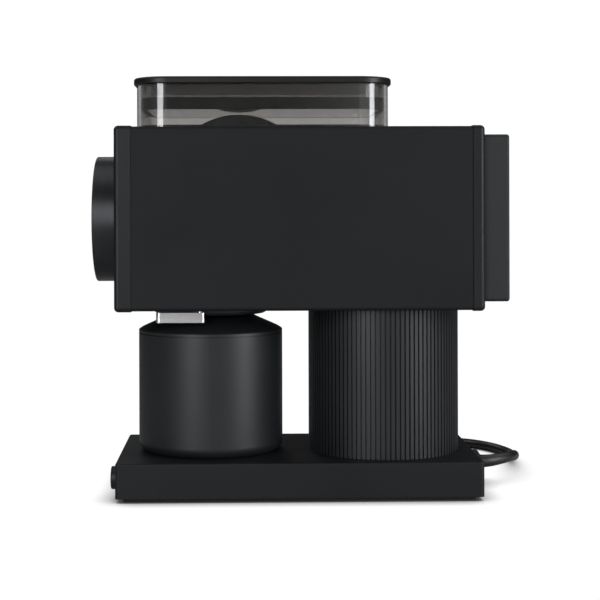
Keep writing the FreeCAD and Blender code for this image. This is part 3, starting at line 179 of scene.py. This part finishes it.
def make_smoke(name, colour, rough):
    """Clear tinted plastic, with faint flow marks and a little haze."""
    material, shader = new_material(name)
    links = material.node_tree.links
    flow = noise(material, 26.0, 3.0, (1, 0.35, 1.6))
    low = tuple(c * 0.96 for c in colour)
    high = tuple(min(1.0, c * 1.04) for c in colour)
    # light that crosses the wall at a slant passes more of the tint
    nodes = material.node_tree.nodes
    slant, slope = nodes.new("ShaderNodeLayerWeight"), nodes.new("ShaderNodeMath")
    deeper = nodes.new("ShaderNodeMix")
    slope.operation = "POWER"
    slope.inputs[1].default_value = 1.1
    deeper.data_type = "RGBA"
    links.new(slant.outputs["Facing"], slope.inputs[0])
    links.new(slope.outputs["Value"], deeper.inputs["Factor"])
    links.new(tint(material, flow, low, high), deeper.inputs[6])
    deeper.inputs[7].default_value = tuple(c * 0.04 for c in colour) + (1,)
    links.new(deeper.outputs[2], shader.inputs["Base Color"])
    links.new(spread(material, noise(material, 60.0), rough * 0.6, rough * 1.4), shader.inputs["Roughness"])
    add_bump(material, shader, flow, 0.00002, 0.5)
    shader.inputs["Transmission Weight"].default_value = 1.0
    shader.inputs["IOR"].default_value = 1.49
    return material


def make_board():
    """Green solder mask over a pattern of tracks."""
    material, shader = new_material("board")
    nodes, links = nodes_of(material)
    brick = nodes.new("ShaderNodeTexBrick")
    brick.inputs["Scale"].default_value = 260.0
    brick.inputs["Color1"].default_value = (0.020, 0.140, 0.060, 1)
    brick.inputs["Color2"].default_value = (0.030, 0.180, 0.080, 1)
    brick.inputs["Mortar"].default_value = (0.060, 0.260, 0.110, 1)
    brick.inputs["Mortar Size"].default_value = 0.04
    links.new(mapped(material, (1, 1, 1)), brick.inputs["Vector"])
    links.new(brick.outputs["Color"], shader.inputs["Base Color"])
    links.new(spread(material, noise(material, 300.0), 0.3, 0.45), shader.inputs["Roughness"])
    add_bump(material, shader, brick.outputs["Fac"], 0.00003)
    return material


def make_materials():
    finish = make_finish
    return {
        "body": finish("powder_coat", (0.0044, 0.0049, 0.0058), 0.62,
                       grain=2600.0, depth=0.000012, specular=0.19),
        "bezel": finish("satin_coat", (0.0046, 0.0050, 0.0058), 0.46,
                        grain=2600.0, depth=0.000006, specular=0.23),
        "dial": turned(finish("anodised_dial", (0.054, 0.055, 0.058), 0.50, grain=1500.0, depth=0.000004,
                              specular=0.5, metallic=0.8, stretch=(0.05, 1.0, 0.05))),
        "base": finish("base_coat", (0.0052, 0.0057, 0.0066), 0.50,
                       grain=2600.0, depth=0.000008, specular=0.22),
        "column": finish("column_coat", (0.0085, 0.0090, 0.0098), 0.5,
                         grain=1800.0, depth=0.000008, specular=0.35),
        "cup": finish("cup_coat", (0.0066, 0.0071, 0.0080), 0.45,
                      grain=2200.0, depth=0.000010, specular=0.38),
        "plastic": finish("black_plastic", (0.0095, 0.0095, 0.0098), 0.5,
                          grain=1500.0, depth=0.00002, specular=0.35),
        "cover": finish("cover_plastic", (0.0090, 0.0095, 0.0104), 0.58,
                        grain=1500.0, depth=0.00002, specular=0.30),
        "lid": finish("lid_plastic", (0.006, 0.006, 0.0062), 0.36,
                      grain=1700.0, depth=0.000010, specular=0.25),
        "button": finish("button_plastic", (0.008, 0.008, 0.0083), 0.42,
                         grain=1700.0, depth=0.000012, specular=0.4),
        "smoke": make_smoke("smoke_plastic", (0.51, 0.50, 0.49), 0.02),
        "seal": finish("silicone", (0.003, 0.003, 0.0031), 0.6, grain=700.0, depth=0.00002, specular=0.08),
        "foot": finish("foot_rubber", (0.009, 0.009, 0.009), 0.8, grain=600.0, depth=0.00005, specular=0.3),
        "cord": finish("cord_jacket", (0.009, 0.009, 0.0095), 0.34,
                       grain=500.0, depth=0.00002, specular=0.5),
        "plug": finish("plug_plastic", (0.010, 0.010, 0.0105), 0.45,
                       grain=1200.0, depth=0.00002, specular=0.45),
        "pins": finish("plug_metal", (0.62, 0.60, 0.55), 0.25, grain=900.0, depth=0.000006, metallic=1.0,
                       stretch=(1, 0.1, 1)),
        "stainless": finish("stainless", (0.62, 0.61, 0.60), 0.26,
                            grain=1600.0, depth=0.000006, metallic=1.0,
                            stretch=(1, 0.04, 1), shade=0.06),
        "steel": finish("plain_steel", (0.42, 0.42, 0.43), 0.36, grain=900.0, depth=0.00001, metallic=1.0,
                        stretch=(1, 0.15, 1)),
        "cast": finish("cast_aluminium", (0.52, 0.53, 0.54), 0.48,
                       grain=500.0, depth=0.00006, metallic=1.0),
        "magnet": finish("ferrite", (0.06, 0.06, 0.065), 0.6, grain=800.0, depth=0.00003, metallic=0.4),
        "board": make_board(),
        "grey": finish("moulded_grey", (0.10, 0.10, 0.11), 0.5, grain=900.0, depth=0.00003),
        "copper": finish("copper_wire", (0.55, 0.24, 0.10), 0.32, grain=1400.0, depth=0.00005, metallic=0.9,
                         stretch=(1, 0.2, 1)),
        "ink": finish("printed_marks", (0.55, 0.55, 0.55), 0.6, grain=2000.0, depth=0.000004, shade=0.05),
        "bright_steel": finish("screw_black", (0.02, 0.02, 0.021), 0.35,
                               grain=1400.0, depth=0.000008, metallic=0.8),
    }


FINISH_OF_SLOT = {
    "black_metal": "body",
    "black_plastic": "plastic",
    "smoke_plastic": "smoke",
    "stainless": "stainless",
    "satin_steel": "dial",
    "plain_steel": "steel",
    "cast_aluminium": "cast",
    "magnet": "magnet",
    "foot_rubber": "foot",
    "silicone": "seal",
    "cord_rubber": "cord",
    "plug_plastic": "plug",
    "plug_metal": "pins",
    "board": "board",
    "components": "grey",
    "copper": "copper",
}
FINISH_OF_NODE = {
    "front_bezel": "bezel",
    "rear_bezel": "bezel",
    "dial_knob": "dial",
    "base_shell": "base",
    "column_shell": "column",
    "catch_cup": "cup",
    "cup_lid": "cup",
    "rear_cover": "cover",
    "hopper_lid": "lid",
    "start_button": "button",
    "rear_screws": "bright_steel",
    "base_screws": "bright_steel",
}


def slot_of_nodes():
    slots = {}
    for part in frame["record"]["subparts"]:
        slots[part["node"]] = part["material_slot"]
    return slots


def dress(node, material):
    data = node.data
    data.materials.clear()
    data.materials.append(material)
    for face in data.polygons:
        face.material_index = 0


# --- pieces made here ------------------------------------------------------------------------

def link(obj, material, body):
    bpy.context.scene.collection.objects.link(obj)
    obj.data.materials.append(material)
    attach(obj, body)
    return obj


def metres(route):
    return [Vector(point) * MM for point in route]


# the cord's middle, in millimetres: from the gland to the coil, and from the coil to the plug
RUN_ROUTE = [
    (0.0, 110.0, 13.4), (0.0, 114.5, 13.4), (-3.1, 122.9, 14.2), (-8.9, 129.8, 14.5),
    (-16.7, 134.0, 13.8), (-34.0, 137.0, 11.0), (-62.0, 141.6, 5.6), (-88.0, 143.6, 3.1),
    (-108.0, 137.2, 3.1), (-120.6, 128.6, 3.1), (-129.0, 117.8, 3.1), (-134.2, 104.4, 3.1),
    (-136.2, 90.0, 3.1), (-136.4, 82.0, 3.1),
]
TAIL_ROUTE = [
    (-136.4, 40.0, 3.1), (-135.8, 26.0, 3.1), (-129.0, 10.0, 3.1), (-115.5, -4.0, 3.2), (-102.0, -16.0, 4.2),
    (-94.6, -27.0, 5.7), (-91.0, -39.5, 7.0), (-91.0, -52.0, 7.0),
]
COIL_CENTRE = (-102.4, 61.0)
CORD_DIAMETER = 6.2
RELIEF_LENGTH = 0.021
# the coil's outer lane, the same lane where it is moved in, and the angles between which lanes change
OUTER_LANE, NARROW_LANE = 37.15, 33.85
CHANGE_START, CHANGE_END = 148.0, 212.0
BLEND = 38.0


def ease(t):
    t = min(1.0, max(0.0, t))
    return t * t * (3 - 2 * t)


def coil_point(angle, lap=CORD_DIAMETER + 0.1):
    """Where the coiled cord's middle is after an angle from the start of its first turn, in degrees.
    The first turn lies on top of the other two. All the changes of lane are between the two change angles,
    and there the lanes move in by about half a diameter, to leave room for the ends beside them."""
    floor = CORD_DIAMETER / 2
    turn, past = divmod(angle - CHANGE_START, 360.0)
    changing = past <= CHANGE_END - CHANGE_START
    after = past - (CHANGE_END - CHANGE_START)
    before = 360.0 - past
    if changing:
        narrow = 1.0
    elif after <= BLEND:
        narrow = 1.0 - ease(after / BLEND)
    elif before <= BLEND:
        narrow = 1.0 - ease(before / BLEND)
    else:
        narrow = 0.0
    outer = OUTER_LANE - (OUTER_LANE - NARROW_LANE) * narrow
    change = past / (CHANGE_END - CHANGE_START)
    reach, height = outer, floor
    if turn == 0 and changing:
        roll = math.radians(120.0 * change)
        reach = NARROW_LANE + lap * change + lap * math.cos(roll)
        height = floor + lap * math.sin(roll)
    elif turn == 0:
        roll = math.radians(60.0 + 60.0 * ease(after / BLEND))
        reach = outer + lap * math.cos(roll)
        height = floor + lap * math.sin(roll)
    elif turn == 1 and changing:
        roll = math.radians(60.0 + 120.0 * change)
        reach = NARROW_LANE - lap + lap * change + lap * math.cos(roll)
        height = floor + lap * math.sin(roll)
    elif turn == 1:
        reach = outer - lap
    elif turn == 2 and changing:
        reach = NARROW_LANE - lap + lap * change
    elif turn == 3:
        reach = NARROW_LANE + lap * change
    turned = math.radians(angle)
    x = COIL_CENTRE[0] + reach * math.cos(turned)
    y = COIL_CENTRE[1] + reach * math.sin(turned)
    return (x, y, height)


def coil_route():
    steps = 36
    first, last = CHANGE_START + 10.0, CHANGE_START + 3 * 360.0 + 54.0
    count = round((last - first) / 360.0 * steps)
    return [coil_point(first + (last - first) * i / count) for i in range(count + 1)]


def along_spline(points, per_leg=8):
    """Points on the smooth curve that a second-degree spline makes of a route, ends included."""
    found = [points[0].copy()]
    for i in range(len(points) - 2):
        a = points[0] if i == 0 else (points[i] + points[i + 1]) / 2
        b = points[i + 1]
        c = points[-1] if i == len(points) - 3 else (points[i + 1] + points[i + 2]) / 2
        for k in range(1, per_leg + 1):
            t = k / per_leg
            found.append(a * (1 - t) ** 2 + b * 2 * t * (1 - t) + c * t * t)
    return found


def sweep(name, line, section, sides=24):
    """A closed tube along a line. At a distance along it, section gives half its width, half its height and
    how square it is: 2 is an ellipse, and more is squarer."""
    mesh = bmesh.new()
    rings = []
    gone = 0.0
    for i, point in enumerate(line):
        ahead = line[min(i + 1, len(line) - 1)] - line[max(i - 1, 0)]
        ahead.normalize()
        gone += (point - line[i - 1]).length if i else 0.0
        across = ahead.cross(Vector((0, 0, 1))).normalized()
        above = across.cross(ahead).normalized()
        wide, tall, corner = section(gone)
        ring = []
        for k in range(sides):
            turn = 2 * math.pi * (k + 0.5) / sides
            c, s = math.cos(turn), math.sin(turn)
            fit = (abs(c) ** corner + abs(s) ** corner) ** (-1 / corner)
            ring.append(mesh.verts.new(point + across * (wide * c * fit) + above * (tall * s * fit)))
        rings.append(ring)
    for a, b in zip(rings, rings[1:]):
        for k in range(sides):
            mesh.faces.new((a[k], a[(k + 1) % sides], b[(k + 1) % sides], b[k]))
    mesh.faces.new(list(reversed(rings[0])))
    mesh.faces.new(rings[-1])
    bmesh.ops.recalc_face_normals(mesh, faces=mesh.faces)
    for face in mesh.faces:
        face.smooth = True
    data = bpy.data.meshes.new(name)
    mesh.to_mesh(data)
    mesh.free()
    return bpy.data.objects.new(name, data)


def make_cord(finishes):
    curve = bpy.data.curves.new("mains_cord", "CURVE")
    curve.dimensions = "3D"
    curve.bevel_depth = CORD_DIAMETER / 2 * MM
    curve.bevel_resolution = 6
    curve.resolution_u = 6
    curve.use_fill_caps = True
    points = metres(RUN_ROUTE + coil_route() + TAIL_ROUTE)
    spline = curve.splines.new("NURBS")
    spline.points.add(len(points) - 1)
    for control, point in zip(spline.points, points):
        control.co = (*point, 1)
    spline.order_u = 3
    spline.use_endpoint_u = True
    cord = link(bpy.data.objects.new("mains_cord", curve), finishes["cord"], "housing")
    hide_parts("cord_run", "cord_coil", "cord_tail")

    def relief_section(s):
        t = min(1.0, s / RELIEF_LENGTH)
        half = (3.95 - 0.87 * t) * MM
        return half, half, 2.0

    bend = along_spline(points[:8], 40)
    sleeve_line, gone = [bend[0] - Vector((0, 0.0015, 0)), bend[0]], 0.0
    for a, b in zip(bend, bend[1:]):
        gone += (b - a).length
        if gone > RELIEF_LENGTH:
            break
        sleeve_line.append(b)
    relief = sweep("strain_relief", sleeve_line, relief_section, 28)
    link(relief, finishes["plug"], "housing")

    def plug_section(s):
        s /= MM
        if s < 15:
            half = 3.9 + 1.5 * s / 15
            if s > 2 and (s - 2) % 3.0 < 1.0:
                half -= 0.7
            return half * MM, half * MM, 2.0
        t = ease((s - 15) / 9)
        pinch = 0.9 * math.exp(-((s - 27) / 4.0) ** 2)
        end = ease((s - 33.6) / 1.6) * 1.3
        wide = 5.4 + (12.9 - 5.4) * t - pinch - end
        tall = 5.4 + (6.9 - 5.4) * t - pinch - end
        return wide * MM, tall * MM, 2.0 + 1.6 * t

    low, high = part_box("plug_body")
    start = Vector(((low.x + high.x) / 2, high.y, (low.z + high.z) / 2))
    length = high.y - low.y
    line = [start - Vector((0, length * i / 120, 0)) for i in range(121)]
    plug = sweep("mains_plug", line, plug_section, 40)
    link(plug, finishes["plug"], "housing")
    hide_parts("plug_body")


def make_dial_marks(finishes):
    """Numbers 1 to 11 and tick marks round the dial's face, thin enough to be ink."""
    low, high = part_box("dial_knob")
    centre = (low + high) / 2
    ink = 0.00004
    face = low.y - ink
    outer = (high.x - low.x) / 2
    mesh = bmesh.new()
    number_reach, tick_reach = outer - 0.0095, outer - 0.0022
    for i in range(11):
        turn = math.radians(30 * i)
        text = bpy.data.curves.new("number", "FONT")
        text.body = str(i + 1)
        text.size = 0.0058
        text.align_x = "CENTER"
        text.align_y = "CENTER"
        text.extrude = ink
        shape = bpy.data.objects.new("number", text)
        bpy.context.scene.collection.objects.link(shape)
        bpy.context.view_layer.update()
        flat = bpy.data.meshes.new_from_object(shape.evaluated_get(bpy.context.evaluated_depsgraph_get()))
        stand = Matrix.Rotation(math.radians(90), 4, "X")
        x = centre.x + number_reach * math.sin(turn)
        z = centre.z + number_reach * math.cos(turn)
        spot = Matrix.Translation((x, face, z))
        flat.transform(spot @ Matrix.Rotation(turn, 4, "Y") @ stand)
        mesh.from_mesh(flat)
        bpy.data.objects.remove(shape)
        bpy.data.curves.remove(text)
        bpy.data.meshes.remove(flat)
    for i in range(61):
        turn = math.radians(5 * i)
        inner = outer - (0.0048 if i % 6 == 0 else 0.0036)
        half = 0.00022 if i % 6 == 0 else 0.00014
        radial = Vector((math.sin(turn), 0, math.cos(turn)))
        across = Vector((math.cos(turn), 0, -math.sin(turn))) * half
        middle = Vector((centre.x, 0, centre.z))
        front, back = Vector((0, face - ink, 0)), Vector((0, face + 2 * ink, 0))
        corners = []
        for depth in (front, back):
            for reach, side in ((inner, -1), (inner, 1), (tick_reach, 1), (tick_reach, -1)):
                corners.append(mesh.verts.new(middle + radial * reach + across * side + depth))
        a, b, c, d, e, f, g, h = corners
        for loop in ((a, b, c, d), (h, g, f, e), (a, e, f, b), (b, f, g, c), (c, g, h, d), (d, h, e, a)):
            mesh.faces.new(loop)
    bmesh.ops.recalc_face_normals(mesh, faces=mesh.faces)
    data = bpy.data.meshes.new("dial_marks")
    mesh.to_mesh(data)
    mesh.free()
    link(bpy.data.objects.new("dial_marks", data), finishes["ink"], "dial")


# --- the studio ------------------------------------------------------------------------------

# brightness of the room round the horizon: angle from +X towards +Y in degrees, radiance
ROOM = (
    (-180, 0.06), (-160, 0.06), (-140, 0.05), (-100, 0.05), (-70, 0.15), (-45, 0.5), (-9, 0.6), (-3, 0.0),
    (2, 0.0), (8, 1.5), (48, 1.4), (75, 0.4), (92, 0.04), (130, 0.04), (160, 0.06), (180, 0.06),
)
# name, azimuth from +X towards +Y in degrees, distance, height, (width, height), radiance
SOFTBOXES = (
    ("left_box", -29.0, 1.5, 0.38, (0.56, 0.95), 9.0),
    ("right_box", 54.0, 1.0, 0.30, (0.32, 0.65), 12.0),
    ("top_box", 180.0, 0.1, 1.3, (0.9, 0.9), 1.0),
    ("front_fill", -95.0, 0.9, 1.25, (0.9, 0.5), 2.2),
    ("rear_fill", 120.0, 0.9, 1.25, (0.9, 0.5), 2.2),
    ("far_fill", -160.0, 1.5, 1.05, (0.8, 0.5), 1.2),
)


def room_light(nodes, links):
    """The room's brightness in each direction: the table round the horizon, and dark far above and below."""
    place, apart = nodes.new("ShaderNodeTexCoord"), nodes.new("ShaderNodeSeparateXYZ")
    links.new(place.outputs["Generated"], apart.inputs["Vector"])
    turn = nodes.new("ShaderNodeMath")
    turn.operation = "ARCTAN2"
    links.new(apart.outputs["Y"], turn.inputs[0])
    links.new(apart.outputs["X"], turn.inputs[1])
    whole = nodes.new("ShaderNodeMapRange")
    whole.inputs["From Min"].default_value = -math.pi
    whole.inputs["From Max"].default_value = math.pi
    links.new(turn.outputs["Value"], whole.inputs["Value"])
    ring, band = nodes.new("ShaderNodeValToRGB"), nodes.new("ShaderNodeValToRGB")
    fill_ramp(ring, [((angle + 180) / 360, value / 2) for angle, value in ROOM])
    links.new(whole.outputs["Result"], ring.inputs["Fac"])
    height = nodes.new("ShaderNodeMapRange")
    height.inputs["From Min"].default_value = -1
    links.new(apart.outputs["Z"], height.inputs["Value"])
    fill_ramp(band, [(0.2, 0.05), (0.38, 1.0), (0.66, 1.0), (0.78, 0.12), (1.0, 0.10)])
    links.new(height.outputs["Result"], band.inputs["Fac"])
    both, double = nodes.new("ShaderNodeMath"), nodes.new("ShaderNodeMath")
    both.operation = double.operation = "MULTIPLY"
    double.inputs[1].default_value = 2
    links.new(ring.outputs["Color"], both.inputs[0])
    links.new(band.outputs["Color"], both.inputs[1])
    links.new(both.outputs["Value"], double.inputs[0])
    return double.outputs["Value"]


def fill_ramp(ramp, stops):
    stops = list(stops)
    marks = ramp.color_ramp.elements
    while len(marks) < len(stops):
        marks.new(0.5)
    for mark, (at, value) in zip(marks, stops):
        mark.position = at
        mark.color = (value, value, value, 1)


def straight_rays(nodes, links):
    """1 on a ray that comes from the lens, or through clear plastic, and 0 on all others."""
    path, either = nodes.new("ShaderNodeLightPath"), nodes.new("ShaderNodeMath")
    either.operation = "MAXIMUM"
    links.new(path.outputs["Is Camera Ray"], either.inputs[0])
    links.new(path.outputs["Is Transmission Ray"], either.inputs[1])
    return either.outputs["Value"]


def make_background():
    """White, as the lens and clear plastic see it. Every other ray meets the room's own brightness."""
    scene = bpy.context.scene
    scene.view_settings.view_transform = "Standard"
    world = bpy.data.worlds.new("studio")
    scene.world = world
    world.use_nodes = True
    nodes, links = world.node_tree.nodes, world.node_tree.links
    nodes.clear()
    output = nodes.new("ShaderNodeOutputWorld")
    seen, lit = nodes.new("ShaderNodeBackground"), nodes.new("ShaderNodeBackground")
    seen.inputs["Color"].default_value = (1, 1, 1, 1)
    seen.inputs["Strength"].default_value = 1.02
    links.new(room_light(nodes, links), lit.inputs["Strength"])
    mix = nodes.new("ShaderNodeMixShader")
    links.new(straight_rays(nodes, links), mix.inputs["Fac"])
    links.new(lit.outputs["Background"], mix.inputs[1])
    links.new(seen.outputs["Background"], mix.inputs[2])
    links.new(mix.outputs["Shader"], output.inputs["Surface"])


def make_floor():
    """White paper as the lens sees it, glowing evenly, with a soft painted shadow where the grinder stands
    close over it; grey paper to every other ray.
    """
    scene = bpy.context.scene
    mesh = bmesh.new()
    for x, y in ((-6, -6), (6, -6), (6, 6), (-6, 6)):
        mesh.verts.new((x, y, 0))
    mesh.faces.new(mesh.verts)
    data = bpy.data.meshes.new("floor")
    mesh.to_mesh(data)
    mesh.free()
    floor = bpy.data.objects.new("floor", data)
    scene.collection.objects.link(floor)
    material = bpy.data.materials.new("floor_paper")
    material.use_nodes = True
    nodes, links = nodes_of(material)
    nodes.clear()
    output, mix = nodes.new("ShaderNodeOutputMaterial"), nodes.new("ShaderNodeMixShader")
    paper, grey = nodes.new("ShaderNodeEmission"), nodes.new("ShaderNodeBsdfDiffuse")
    # painted shadow: ambient occlusion dims the paper's glow where the grinder is near, standing in for the
    # shadow the lamps would cast
    painted_shadow_ao, ramp = nodes.new("ShaderNodeAmbientOcclusion"), nodes.new("ShaderNodeMapRange")
    painted_shadow_ao.samples = 12
    painted_shadow_ao.inputs["Distance"].default_value = 0.018
    ramp.inputs["From Min"].default_value = 0.25
    ramp.inputs["From Max"].default_value = 0.9
    ramp.inputs["To Min"].default_value = 0.05
    ramp.inputs["To Max"].default_value = 1.02
    links.new(painted_shadow_ao.outputs["AO"], ramp.inputs["Value"])
    links.new(ramp.outputs["Result"], paper.inputs["Strength"])
    grey.inputs["Color"].default_value = (0.5, 0.5, 0.5, 1)
    links.new(straight_rays(nodes, links), mix.inputs["Fac"])
    links.new(grey.outputs["BSDF"], mix.inputs[1])
    links.new(paper.outputs["Emission"], mix.inputs[2])
    links.new(mix.outputs["Shader"], output.inputs["Surface"])
    data.materials.append(material)


def make_lamps():
    """Two bright upright softboxes at the sides, and dim ones overhead, in front and behind."""
    scene = bpy.context.scene
    for name, azimuth, distance, height, size, radiance in SOFTBOXES:
        light = bpy.data.lights.new(name, "AREA")
        light.shape = "RECTANGLE"
        light.size, light.size_y = size
        light.energy = radiance * math.pi * size[0] * size[1]
        light.color = (0.98, 0.995, 1.025)
        lamp = bpy.data.objects.new(name, light)
        turn = math.radians(azimuth)
        lamp.location = (distance * math.cos(turn), distance * math.sin(turn), height)
        towards = Vector((0, 0, 0.12)) - lamp.location
        lamp.rotation_euler = towards.to_track_quat("-Z", "Y").to_euler()
        scene.collection.objects.link(lamp)


make_camera()
finishes = make_materials()
slots = slot_of_nodes()
for name, node in frame["nodes"].items():
    finish = FINISH_OF_NODE.get(name, FINISH_OF_SLOT[slots[name]])
    dress(node, finishes[finish])
make_cord(finishes)
make_dial_marks(finishes)
make_background()
make_floor()
make_lamps()
